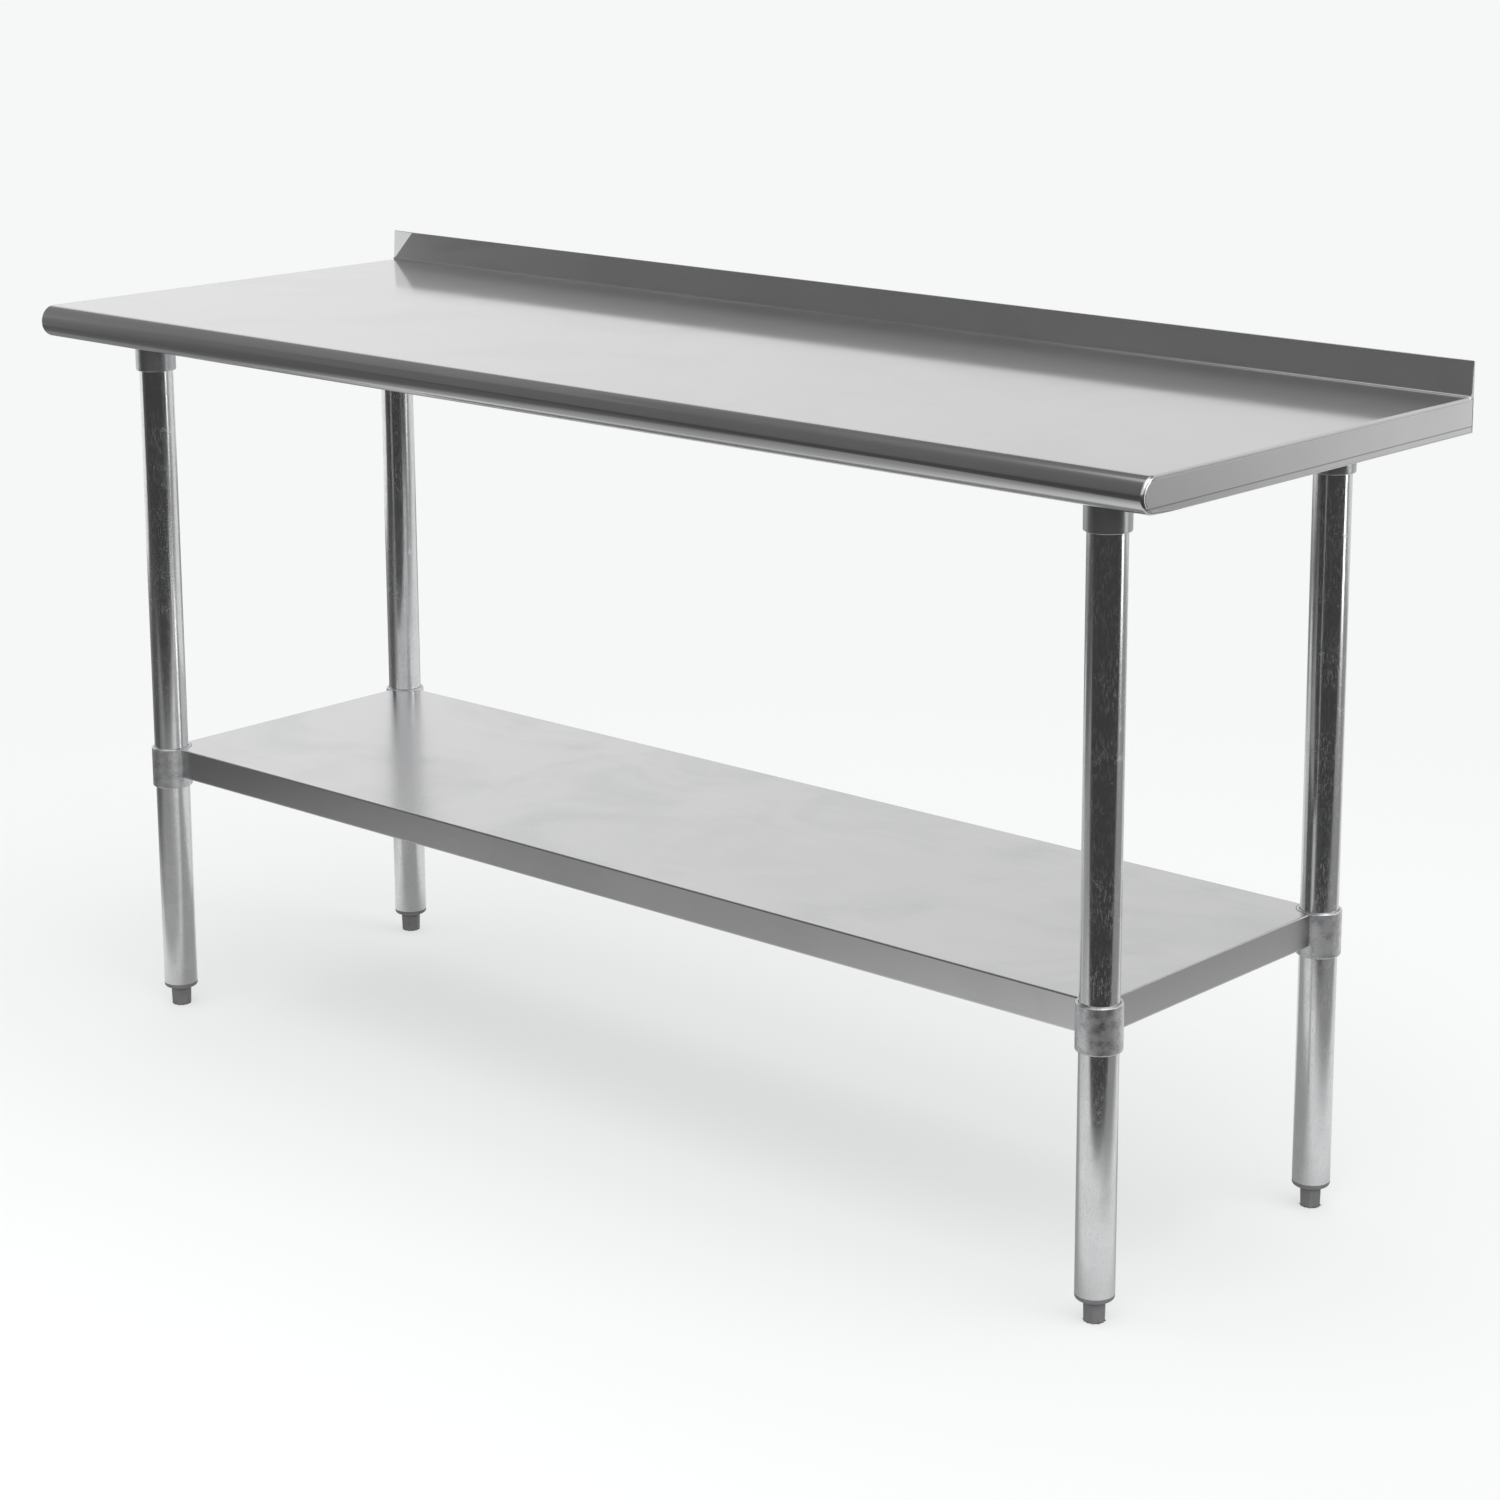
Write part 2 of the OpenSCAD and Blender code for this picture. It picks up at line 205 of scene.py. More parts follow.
# the paper's front edge runs across the view
to_edge = weighed(tree, (axes["X"], 0.6), (axes["Y"], -0.8))
card_light = product(
    tree,
    ramp(tree, to_edge, 1.03, 1.12, CARD_LIGHT, 0.0),
    # the paper falls off into shade on three sides
    ramp(tree, axes["Y"], -0.5, -1.3, 1.0, 0.78),
    ramp(tree, axes["X"], 0.95, 1.3, 1.0, 0.35),
    ramp(tree, axes["X"], -0.9, -1.6, 1.0, 0.3),
    # a painted shadow under the table
    dimmed(
        tree,
        0.55,
        ramp(tree, maths(tree, "ABSOLUTE", axes["X"]), 0.9, 0.62),
        ramp(tree, maths(tree, "ABSOLUTE", axes["Y"]), 0.42, 0.2),
    ),
    # and a painted shadow in front of its left half
    dimmed(tree, 0.5, ramp(tree, axes["X"], 0.45, -0.4), ramp(tree, axes["Y"], -0.3, -0.5)),
)
coat(floor_card, card_material, glowing(tree, WHITE, maths(tree, "MAXIMUM", card_light, CARD_DARK)))

FLAT_H = 4.4
FLAT_LEFT = -3.3
FLAT_BACK = 3.2
FLAT_FADE = 0.9
FLAT_DIM = 0.19


def pale_flat(name, start, end, light):
    """An upright lit flat on the floor between two points, seen only in bright metal."""
    choose()
    bpy.ops.mesh.primitive_plane_add(size=1, location=(0, 0, 0), rotation=(math.pi / 2, 0, 0))
    flat = bpy.context.object
    bpy.ops.object.transform_apply(location=False, rotation=True, scale=False)
    flat.name = name
    along_x, along_y = end[0] - start[0], end[1] - start[1]
    flat.scale = (math.hypot(along_x, along_y), 1, FLAT_H)
    flat.rotation_euler = (0, 0, math.atan2(along_y, along_x))
    flat.location = ((start[0] + end[0]) / 2, (start[1] + end[1]) / 2, FLAT_H / 2)
    bpy.ops.object.transform_apply(location=True, rotation=True, scale=True)
    only_in_mirrors(flat)
    material, tree = new_material(name)
    axes = object_axes(tree)
    along = maths(tree, "ADD", axes["X"], axes["Y"])
    coat(flat, material, glowing(tree, WHITE, light(tree, along, axes["Z"])))


def wall_light(tree, along, height):
    """Bright at the left, greyer behind the table, dim past its right end, faded at the top."""
    top = ramp(tree, along, -3.8, 1.0, 2.4, FLAT_H)
    strength = product(
        tree,
        ramp(tree, maths(tree, "SUBTRACT", height, top), 0.0, -FLAT_FADE),
        ramp(tree, along, -5.25, -4.85),
        ramp(tree, along, -2.6, 2.2, 1.0, 0.8),
        ramp(tree, along, 5.6, 6.6, 1.0, 0.4),
    )
    return maths(tree, "MAXIMUM", strength, FLAT_DIM)


def strip_glow(tree, along, height):
    """Strong below, weak above."""
    return ramp(tree, height, 2.4, 1.6, 0.2, 2.6)


pale_flat("left_flat", (FLAT_LEFT, -2.0), (FLAT_LEFT, FLAT_BACK), wall_light)
pale_flat("back_flat", (FLAT_LEFT, FLAT_BACK), (5.0, FLAT_BACK), wall_light)
pale_flat("strip_light", (2.9, 1.9), (3.2, 1.4), strip_glow)

# The rest of the room is dim, brighter in front above the height that the legs mirror,
# bright high on the right, and has a pale ceiling. Angles run in degrees from the front
# view's direction round to its left.
FRONT = (0.657, -0.754, 0)
LEFT = (-0.754, -0.657, 0)
world = bpy.data.worlds.new("studio")
bpy.context.scene.world = world
world.use_nodes = True
world.node_tree.nodes.clear()
tree = world.node_tree
direction = add_node(tree, "ShaderNodeTexCoord").outputs["Generated"]
to_front, to_left = (
    add_node(
        tree, "ShaderNodeVectorMath", {0: direction, 1: way}, operation="DOT_PRODUCT"
    ).outputs["Value"]
    for way in (FRONT, LEFT)
)
angle = maths(tree, "DEGREES", maths(tree, "ARCTAN2", to_left, to_front))
upwards = add_node(tree, "ShaderNodeSeparateXYZ", {0: direction}).outputs["Z"]
height = maths(tree, "DEGREES", maths(tree, "ARCSINE", upwards))
room = ramp(tree, angle, 62, 80, 0.06, 0.12)
front_high = product(
    tree,
    ramp(tree, angle, 66, 56),
    ramp(tree, angle, -80, -70),
    ramp(tree, height, 2, 8, 0.0, 0.75),
)
right_high = product(
    tree,
    ramp(tree, angle, -8, -22),
    ramp(tree, angle, -98, -84),
    ramp(tree, height, 20, 32, 0.0, 1.4),
)
ceiling = ramp(tree, height, 52, 57, 0.0, 0.9)
lit = maths(tree, "ADD", maths(tree, "ADD", room, front_high), right_high)
lit = maths(tree, "MAXIMUM", lit, ceiling)
seen = add_node(tree, "ShaderNodeBackground", {"Color": BACKDROP, "Strength": 1.0}).outputs[0]
felt = add_node(tree, "ShaderNodeBackground", {"Color": WHITE, "Strength": lit}).outputs[0]
is_camera = add_node(tree, "ShaderNodeLightPath").outputs["Is Camera Ray"]
add_node(tree, "ShaderNodeOutputWorld", {"Surface": mixed_shader(tree, is_camera, felt, seen)})


def soft_light(name, location, turn, size, power):
    """A square area light that is not itself seen in the metal."""
    choose()
    bpy.ops.object.light_add(type="AREA", location=location, rotation=turn)
    lamp = bpy.context.object
    lamp.name = name
    lamp.data.size = size
    lamp.data.energy = power
    lamp.visible_glossy = False


soft_light("overhead_light", (0, -0.3, 3.6), (0, 0, 0), 4.0, 98)
soft_light("front_light", (2.2, -3.2, 2.4), (math.radians(55), 0, math.radians(35)), 2.5, 35)

# --- Worktop ---------------------------------------------------------------------------
# One sheet of stainless steel: its front edge is rolled over, its sides are turned down
# and close the roll as half rounds, and its back turns up into a low splash. The corners
# are welded and ground, and the lower edges are hemmed inwards.
SHEET_T = 0.0012
HEM_W = 0.012
EDGE_H = 0.038
SPLASH_T = 0.004
SPLASH_LIP = 0.012
SPLASH_R = 0.0033
GUSSET_W = 0.037
GUSSET_TURN = 0.002
GROUND_R = 0.003
HEM_LINE = 0.007
FOLD_R = 0.0006
SEAM_W = 0.0005

TOUCH = 1e-5


def edit(piece):
    """Opens one piece in edit mode with nothing selected."""
    choose(piece)
    bpy.ops.object.mode_set(mode="EDIT")
    bpy.ops.mesh.select_all(action="DESELECT")


def pick(kind, test, add=False):
    """Selects the points, edges or faces of the piece in edit mode that pass a test on
    their points' places."""
    bpy.ops.mesh.select_mode(type=kind)
    if not add:
        bpy.ops.mesh.select_all(action="DESELECT")
    mesh = bmesh.from_edit_mesh(bpy.context.object.data)
    mesh.normal_update()
    for part in {"VERT": mesh.verts, "EDGE": mesh.edges, "FACE": mesh.faces}[kind]:
        points = [part] if kind == "VERT" else part.verts
        if test([point.co for point in points]):
            part.select_set(True)
    mesh.select_flush_mode()
    bmesh.update_edit_mesh(bpy.context.object.data)


def near(value, target):
    """True for two lengths that are the same but for rounding."""
    return abs(value - target) < TOUCH


def at(x=None, y=None, z=None):
    """A test that all the points lie at the given x, y or z."""
    goal = [(axis, value) for axis, value in enumerate((x, y, z)) if value is not None]
    return lambda points: all(near(point[axis], value) for point in points for axis, value in goal)


def span(values):
    """The distance between the least and the greatest."""
    values = list(values)
    return max(values) - min(values)


def draw_out(x=0.0, y=0.0, z=0.0):
    """Extrudes the selected edges."""
    bpy.ops.mesh.extrude_edges_move(TRANSFORM_OT_translate={"value": (x, y, z)})


def draw_point(y=0.0, z=0.0):
    """Draws an edge from the selected point."""
    bpy.ops.mesh.extrude_vertices_move(TRANSFORM_OT_translate={"value": (0, y, z)})


def draw_faces(x=0.0, z=0.0):
    """Extrudes the selected faces."""
    bpy.ops.mesh.extrude_region_move(TRANSFORM_OT_translate={"value": (x, 0, z)})


def shift(x=0.0, y=0.0, z=0.0):
    """Moves what is selected."""
    bpy.ops.transform.translate(value=(x, y, z))


def resize(x, y, z, centre):
    """Scales what is selected about a centre."""
    bpy.ops.transform.resize(value=(x, y, z), center_override=centre)


def pick_all():
    """Selects all of the piece in edit mode."""
    bpy.ops.mesh.select_all(action="SELECT")


def round_folds(width, steps=3):
    """Bevels the selected edges."""
    bpy.ops.mesh.bevel(offset=width, segments=steps, profile=0.5, affect="EDGES")


def apply_all():
    """Applies the place, turn and size of the selected objects to their meshes."""
    bpy.ops.object.transform_apply(location=True, rotation=True, scale=True)


def use(piece, kind, **settings):
    """Adds a modifier and applies it."""
    choose(piece)
    modifier = piece.modifiers.new(kind.lower(), kind)
    for key, value in settings.items():
        setattr(modifier, key, value)
    bpy.ops.object.modifier_apply(modifier=modifier.name)


def outwards():
    """Merges doubles and makes the faces of the piece in edit mode point outwards."""
    bpy.ops.mesh.select_mode(type="FACE")
    pick_all()
    bpy.ops.mesh.remove_doubles(threshold=TOUCH)
    bpy.ops.mesh.normals_make_consistent(inside=False)
    bpy.ops.mesh.select_all(action="DESELECT")


def add_plane(name, low, high, z):
    """A flat sheet between two corners."""
    choose()
    middle = ((low[0] + high[0]) / 2, (low[1] + high[1]) / 2, z)
    bpy.ops.mesh.primitive_plane_add(size=1, location=middle)
    sheet = bpy.context.object
    sheet.name = name
    sheet.scale = (high[0] - low[0], high[1] - low[1], 1)
    apply_all()
    return sheet


def dress(piece, material, body, node, angle=35):
    """Smooths a piece's rounds, gives it its finish, hangs it on what carries it and hides the part
    of the loaded frame that it replaces."""
    choose(piece)
    apply_all()
    bpy.ops.object.shade_smooth_by_angle(angle=math.radians(angle))
    use(piece, "WEIGHTED_NORMAL", keep_sharp=True, weight=90)
    piece.data.materials.clear()
    piece.data.materials.append(material)
    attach(piece, body)
    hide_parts(node)


low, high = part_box("worktop_sheet")
left, right, front, back = low.x, high.x, -high.y, high.y
edge_z, splash_z = low.z, high.z
top_z = edge_z + EDGE_H
nose_r = EDGE_H / 2
nose_y = front + nose_r
face_y = back - SPLASH_T
bend_y = face_y - SPLASH_R

worktop = add_plane("worktop", (left, nose_y), (right, face_y), top_z)
edit(worktop)
# roll the front edge and hem it
pick("EDGE", at(y=nose_y, z=top_z))
bpy.ops.mesh.spin(
    steps=24, angle=-math.pi, center=(0, nose_y, top_z - nose_r), axis=(1, 0, 0), dupli=False
)
pick("EDGE", at(y=nose_y, z=edge_z))
draw_out(y=HEM_W)
pick("VERT", at(y=nose_y + HEM_W, z=edge_z))
for side in (left, right):
    pick("VERT", at(x=side, y=nose_y + HEM_W, z=edge_z))
    shift(x=-math.copysign(HEM_W, side))
# turn the back up into the splash, back and down
pick("EDGE", at(y=face_y, z=top_z))
draw_out(z=splash_z - top_z)
draw_out(y=SPLASH_T)
draw_out(z=-SPLASH_LIP)
# the splash's ends are creased from the lower corner and turned back
for side in (left, right):
    pick("FACE", lambda points: all(point.y > face_y - TOUCH for point in points))
    crease_x = side - math.copysign(GUSSET_W, side)
    bpy.ops.mesh.bisect(plane_co=(crease_x, 0, 0), plane_no=(1, 0, 0))
for side in (left, right):
    crease_x = side - math.copysign(GUSSET_W, side)
    pick("VERT", at(x=crease_x, y=face_y, z=splash_z))
    pick("VERT", at(x=side, y=face_y, z=top_z), add=True)
    bpy.ops.mesh.vert_connect()
    pick("VERT", at(x=side, y=face_y, z=splash_z))
    shift(y=GUSSET_TURN)
# bend where the worktop turns up
pick("EDGE", at(y=face_y, z=top_z))
round_folds(SPLASH_R, 4)
# draw the sides' lower and back edges, and close the sides and the splash's ends
for side in (left, right):
    pick("VERT", at(x=side, y=nose_y, z=edge_z))
    draw_point(y=back - nose_y)
    pick("VERT", at(x=side, y=back, z=edge_z))
    draw_point(z=EDGE_H)
    pick("VERT", at(x=side, y=back, z=top_z))
    draw_point(z=splash_z - SPLASH_LIP - top_z)
    pick("VERT", at(x=side, y=back, z=top_z))
    pick("VERT", at(x=side, y=bend_y, z=top_z), add=True)
    bpy.ops.mesh.edge_face_add()
bpy.ops.mesh.select_mode(type="VERT")
pick_all()
bpy.ops.mesh.remove_doubles(threshold=TOUCH)
for side in (left, right):
    pick("VERT", lambda points: near(points[0].x, side) and points[0].z < top_z + TOUCH)
    bpy.ops.mesh.edge_face_add()
    pick(
        "VERT",
        lambda points: near(points[0].x, side)
        and points[0].z > top_z - TOUCH
        and points[0].y > bend_y - TOUCH,
    )
    bpy.ops.mesh.edge_face_add()
outwards()


def side_edge(points, low_y, high_y, low_z, high_z):
    """An edge at either end of the table inside the given range."""
    return (at(x=left)(points) or at(x=right)(points)) and all(
        low_y - TOUCH < point.y < high_y + TOUCH and low_z - TOUCH < point.z < high_z + TOUCH
        for point in points
    )


# ground corners along the sides and round the ends of the roll
pick(
    "EDGE",
    lambda points: side_edge(points, front, bend_y, edge_z, top_z) and not at(z=edge_z)(points),
)
round_folds(GROUND_R, 4)
# smaller folds round the splash
pick(
    "EDGE",
    lambda points: side_edge(points, bend_y, back, top_z, splash_z)
    and max(point.z for point in points) > top_z + TOUCH
    and not at(y=back)(points),
)
pick("EDGE", at(z=splash_z, y=back), add=True)
pick(
    "EDGE",
    lambda points: at(z=splash_z)(points)
    and all(face_y - TOUCH < point.y < back - TOUCH for point in points),
    add=True,
)
round_folds(FOLD_R, 3)
# a fine line runs beside the ground corner
pick("FACE", lambda points: len(points) > 24)
for depth in (0, -SEAM_W, SEAM_W):
    bpy.ops.mesh.inset(thickness=SEAM_W, depth=depth)
# hems under the sides and flanges behind them
for side in (left, right):
    inward = -math.copysign(HEM_W, side)
    pick(
        "EDGE",
        lambda points: at(x=side, z=edge_z)(points)
        and max(point.y for point in points) > back - TOUCH,
    )
    draw_out(x=inward)
    pick(
        "VERT",
        lambda points: at(x=side + inward, z=edge_z)(points) and points[0].y < nose_y + TOUCH,
    )
    shift(y=HEM_W)
    pick(
        "EDGE",
        lambda points: at(x=side, y=back)(points)
        and max(point.z for point in points) < splash_z - SPLASH_LIP + TOUCH,
    )
    draw_out(x=inward)
outwards()
use(worktop, "SOLIDIFY", thickness=SHEET_T, offset=-1, use_quality_normals=True)
# the turned corners at the splash's ends stay crisp
edit(worktop)
pick(
    "FACE",
    lambda points: span(point.x for point in points) > GUSSET_W / 2
    and span(point.z for point in points) > GUSSET_W / 2
    and span(point.y for point in points) > GUSSET_TURN / 2
    and min(point.y for point in points) > face_y - TOUCH,
)
bpy.ops.mesh.select_mode(type="EDGE")
bpy.ops.mesh.mark_sharp()


def noise(tree, place, scale, detail, **more):
    """The grey value of a noise texture."""
    values = {"Vector": place, "Scale": scale, "Detail": detail, **more}
    return add_node(tree, "ShaderNodeTexNoise", values).outputs[0]


def stretched(tree, place, factors):
    """The place times a factor for each axis."""
    values = {0: place, 1: factors}
    return add_node(tree, "ShaderNodeVectorMath", values, operation="MULTIPLY").outputs["Vector"]


def two_tone(tree, factor, first, second):
    """Two colours mixed by a factor."""
    values = {"Factor": factor, 6: first, 7: second}
    return add_node(tree, "ShaderNodeMix", values, data_type="RGBA").outputs[2]


def relief(tree, height, strength, distance, **under):
    """The normal of a surface with fine relief."""
    values = {"Strength": strength, "Distance": distance, "Height": height, **under}
    return add_node(tree, "ShaderNodeBump", values).outputs[0]


def surface(tree, tone, rough, normal, metallic=1.0):
    """A plain surface shader, bare metal unless told otherwise."""
    look = {"Base Color": tone, "Metallic": metallic, "Roughness": rough, "Normal": normal}
    return add_node(tree, "ShaderNodeBsdfPrincipled", look).outputs[0]


def finish_group(name, scale_name):
    """An empty group for a metal finish, with its sockets and the group's input node."""
    group = bpy.data.node_groups.new(name, "ShaderNodeTree")
    group.interface.new_socket("Along", in_out="INPUT", socket_type="NodeSocketVector")
    for socket in (scale_name, "Low", "High"):
        group.interface.new_socket(socket, in_out="INPUT", socket_type="NodeSocketFloat")
    for socket in ("Height", "Roughness", "Tone"):
        group.interface.new_socket(socket, in_out="OUTPUT", socket_type="NodeSocketFloat")
    return group, add_node(group, "NodeGroupInput").outputs


def close_group(group, inside, height, tone):
    """Gives the group its outputs: the tone also sets the roughness from low to high."""
    reach = maths(group, "SUBTRACT", inside["High"], inside["Low"])
    rough = weighed(group, (inside["Low"], 1.0), (tone, reach))
    add_node(group, "NodeGroupOutput", {"Height": height, "Roughness": rough, "Tone": tone})


# Stainless finish: a fine satin grain along the table, a few longer hairlines and faint
# wiped smears that dull it in places.
grain, inside = finish_group("satin_grain", "Fine")
place = object_place(grain)
drawn = stretched(grain, place, inside["Along"])
fine = noise(grain, drawn, inside["Fine"], 3.0, Roughness=0.6)
coarse = noise(grain, drawn, maths(grain, "MULTIPLY", inside["Fine"], 0.12), 2.0)
smears = noise(grain, place, 5.5, 4.0, Roughness=0.55, Distortion=0.8)
lines = weighed(grain, (fine, 0.65), (coarse, 0.35))
dull = ramp(grain, smears, 0.38, 0.72)
close_group(grain, inside, lines, weighed(grain, (lines, 0.55), (dull, 0.45)))

HAZE_ROUGH = 0.38


def metal(name, light, dark, group, values, bump, depth, haze=0.0, line=None):
    """Bare metal: two close tones, roughness and fine relief from one of the groups."""
    material, tree = new_material(name)
    finish = add_node(tree, "ShaderNodeGroup", node_tree=group)
    for key, value in values.items():
        finish.inputs[key].default_value = value
    tone = two_tone(tree, finish.outputs["Tone"], (*light, 1), (*dark, 1))
    # a line function, where one is given, paints a dark shade line into the tone
    if line:
        tone = line(tree, tone)
    normal = relief(tree, finish.outputs["Height"], bump, depth)
    shader = surface(tree, tone, finish.outputs["Roughness"], normal)
    if haze:
        # fine scratches add a wide soft sheen to the mirror
        shader = mixed_shader(tree, haze, shader, surface(tree, tone, HAZE_ROUGH, normal))
    coat(None, material, shader)
    return material


def hem_crease_shade(tree, tone):
    """The hem inside the sides prints through as a faint crease; its line is painted shade, a dark
    band mixed into the metal's colour.
    """
    axes = object_axes(tree)
    off_line = maths(tree, "ABSOLUTE", maths(tree, "SUBTRACT", axes["Z"], edge_z + HEM_LINE))
    on_side = ramp(tree, maths(tree, "ABSOLUTE", axes["X"]), right - 0.001, right - 0.0005)
    mark = product(tree, ramp(tree, off_line, 0.0009, 0.0003, 0.0, 0.55), on_side)
    return two_tone(tree, mark, tone, (0.1, 0.1, 0.1, 1))


stainless = metal(
    "stainless_satin",
    (0.74, 0.74, 0.745),
    (0.66, 0.665, 0.67),
    grain,
    {"Along": (0.04, 1.0, 1.0), "Fine": 900.0, "Low": 0.07, "High": 0.12},
    0.04,
    0.0002,
    0.3,
    hem_crease_shade,
)
dress(worktop, stainless, "table_frame", "worktop_sheet", 30)

# --- Hat channels under the worktop ----------------------------------------------------
# Galvanised steel bent to a hat: two lie across the table over the legs and one runs
# between them. Their flanges sit on welded studs, and their webs carry the leg sockets.
CHANNEL_T = 0.0015
FLANGE_W = 0.020
CHANNEL_R = 0.0022

# Galvanised finish: cloudy zinc crystals, a few dull spots and the mill's fine lines.
zinc, inside = finish_group("zinc_bloom", "Crystal")
place = object_place(zinc)
crystals = add_node(zinc, "ShaderNodeTexVoronoi", {"Vector": place, "Scale": inside["Crystal"]})
facet = add_node(zinc, "ShaderNodeSeparateColor", {0: crystals.outputs["Color"]}).outputs[0]
mill = noise(zinc, stretched(zinc, place, inside["Along"]), 700.0, 3.0, Roughness=0.6)
cloud = noise(zinc, place, 14.0, 5.0, Roughness=0.6)
spots = ramp(zinc, noise(zinc, place, 160.0, 2.0), 0.68, 0.76)
mixed = weighed(zinc, (facet, 0.25), (cloud, 0.45), (mill, 0.3), (spots, 0.35))
mixed = maths(zinc, "MINIMUM", mixed, 1.0)
close_group(zinc, inside, weighed(zinc, (mill, 0.6), (spots, -0.5)), mixed)

EVEN = (1.0, 1.0, 1.0)
channel_steel = metal(
    "galvanised_channel",
    (0.62, 0.625, 0.635),
    (0.46, 0.465, 0.475),
    zinc,
    {"Along": EVEN, "Crystal": 90.0, "Low": 0.3, "High": 0.5},
    0.3,
    0.0003,
)


def fold_channel(name, node, along, body):
    """A hat channel in the space of its node, drawn along X (0) or Y (1)."""
    low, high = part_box(node)
    across = 1 - along
    axis = "xy"[across]
    web_low, web_high = list(low), list(high)
    web_low[across] += FLANGE_W
    web_high[across] -= FLANGE_W
    flange_z = high.z - CHANNEL_T
    channel = add_plane(name, web_low, web_high, low.z)
    edit(channel)
    for edge, sign in ((web_low[across], -1), (web_high[across], 1)):
        pick("EDGE", at(z=low.z, **{axis: edge}))
        draw_out(z=flange_z - low.z)
        draw_out(**{axis: sign * FLANGE_W})
    for edge in (web_low[across], web_high[across]):
        pick("EDGE", at(z=low.z, **{axis: edge}))
        pick("EDGE", at(z=flange_z, **{axis: edge}), add=True)
        round_folds(CHANNEL_R, 3)
    # the web faces down, so that the steel's thickness goes inwards
    bpy.ops.mesh.select_mode(type="FACE")
    pick_all()
    bpy.ops.mesh.normals_make_consistent(inside=False)
    mesh = bmesh.from_edit_mesh(channel.data)
    if max(mesh.faces, key=lambda face: face.calc_area()).normal.z > 0:
        bpy.ops.mesh.flip_normals()
    use(channel, "SOLIDIFY", thickness=CHANNEL_T, offset=-1, use_even_offset=True)
    dress(channel, channel_steel, body, node)


fold_channel("channel_long", "long_channel", 0, "table_frame")
fold_channel("channel_left", "cross_channel_left", 1, "table_frame")
fold_channel("channel_right", "cross_channel_right", 1, "table_frame")

# --- Studs, washers and nuts that hold the channels ------------------------------------
# Threaded studs are welded to the underside of the worktop. A plain washer and a
# zinc-plated hex nut on each one pull the channel's flange up tight.
STUD_D = 0.006
STUD_L = 0.014
STUD_PITCH = 0.001
STUD_CORE = 0.82
STUD_STEP_Y = 0.300
STUD_END = 0.060
NUT_AF = 0.010
NUT_CHAMFER = 0.0005
WASHER_D = 0.012
WASHER_T = 0.0016
WASHER_EDGE = 0.0003
ROOF_Z = top_z - SHEET_T


def turned(name, profile, segments=48, capped=False):
    """A piece drawn out and widened along a profile of radius and height, as on a lathe."""
    choose()
    (radius, height), rest = profile[0], profile[1:]
    bpy.ops.mesh.primitive_circle_add(vertices=segments, radius=radius, location=(0, 0, height))
    ring = bpy.context.object
    ring.name = name
    apply_all()
    bpy.ops.object.mode_set(mode="EDIT")
    pick_all()
    for new_radius, new_height in rest:
        draw_out(z=new_height - height)
        grow = new_radius / radius
        resize(grow, grow, 1, (0, 0, new_height))
        radius, height = new_radius, new_height
    if capped:
        bpy.ops.mesh.select_mode(type="EDGE")
        pick_all()
        bpy.ops.mesh.region_to_loop()
        bpy.ops.mesh.edge_face_add()
    outwards()
    choose(ring)
    return ring


def remove(*pieces):
    """Deletes master pieces that are no longer needed."""
    for piece in pieces:
        bpy.data.objects.remove(piece)


def cut_away(piece, cutter):
    """Cuts one piece out of another."""
    use(piece, "BOOLEAN", object=cutter, operation="DIFFERENCE", solver="EXACT")
    remove(cutter)


def hex_block(name, across_flats, height):
    """A hexagonal block that stands on the origin."""
    choose()
    bpy.ops.mesh.primitive_cylinder_add(
        vertices=6,
        radius=across_flats / 2 / math.cos(math.pi / 6),
        depth=height,
        location=(0, 0, height / 2),
        rotation=(0, 0, math.pi / 2),
    )
    block = bpy.context.object
    block.name = name
    apply_all()
    edit(block)
    return block


def hex_head(name, across_flats, height, chamfer, hole_d=None):
    """A hexagon with its rims chamfered above and below, and a hole if it is a nut."""
    block = hex_block(name, across_flats, height)
    pick("EDGE", at(z=0))
    pick("EDGE", at(z=height), add=True)
    round_folds(chamfer, 2)
    if hole_d:
        hole = [(hole_d / 2, -height), (hole_d / 2, 2 * height)]
        cut_away(block, turned("cutter", hole, 24, True))
    return block


def copy_of(piece, name, place, turn=0.0):
    """A copy of a piece, with its own place and its turn about Z."""
    choose(piece)
    bpy.ops.object.duplicate(linked=False)
    twin = bpy.context.object
    twin.name = name
    twin.location = place
    twin.rotation_euler = (0, 0, turn)
    return twin


def joined(name, pieces):
    """Makes the pieces one object."""
    choose(*pieces)
    if len(pieces) > 1:
        bpy.ops.object.join()
    pieces[0].name = name
    return pieces[0]


def copies(piece, name, places):
    """Joins a copy of the piece at each place and removes the piece itself."""
    made = []
    for place in places:
        made.append(copy_of(piece, name, place))
        apply_all()
    remove(piece)
    return joined(name, made)


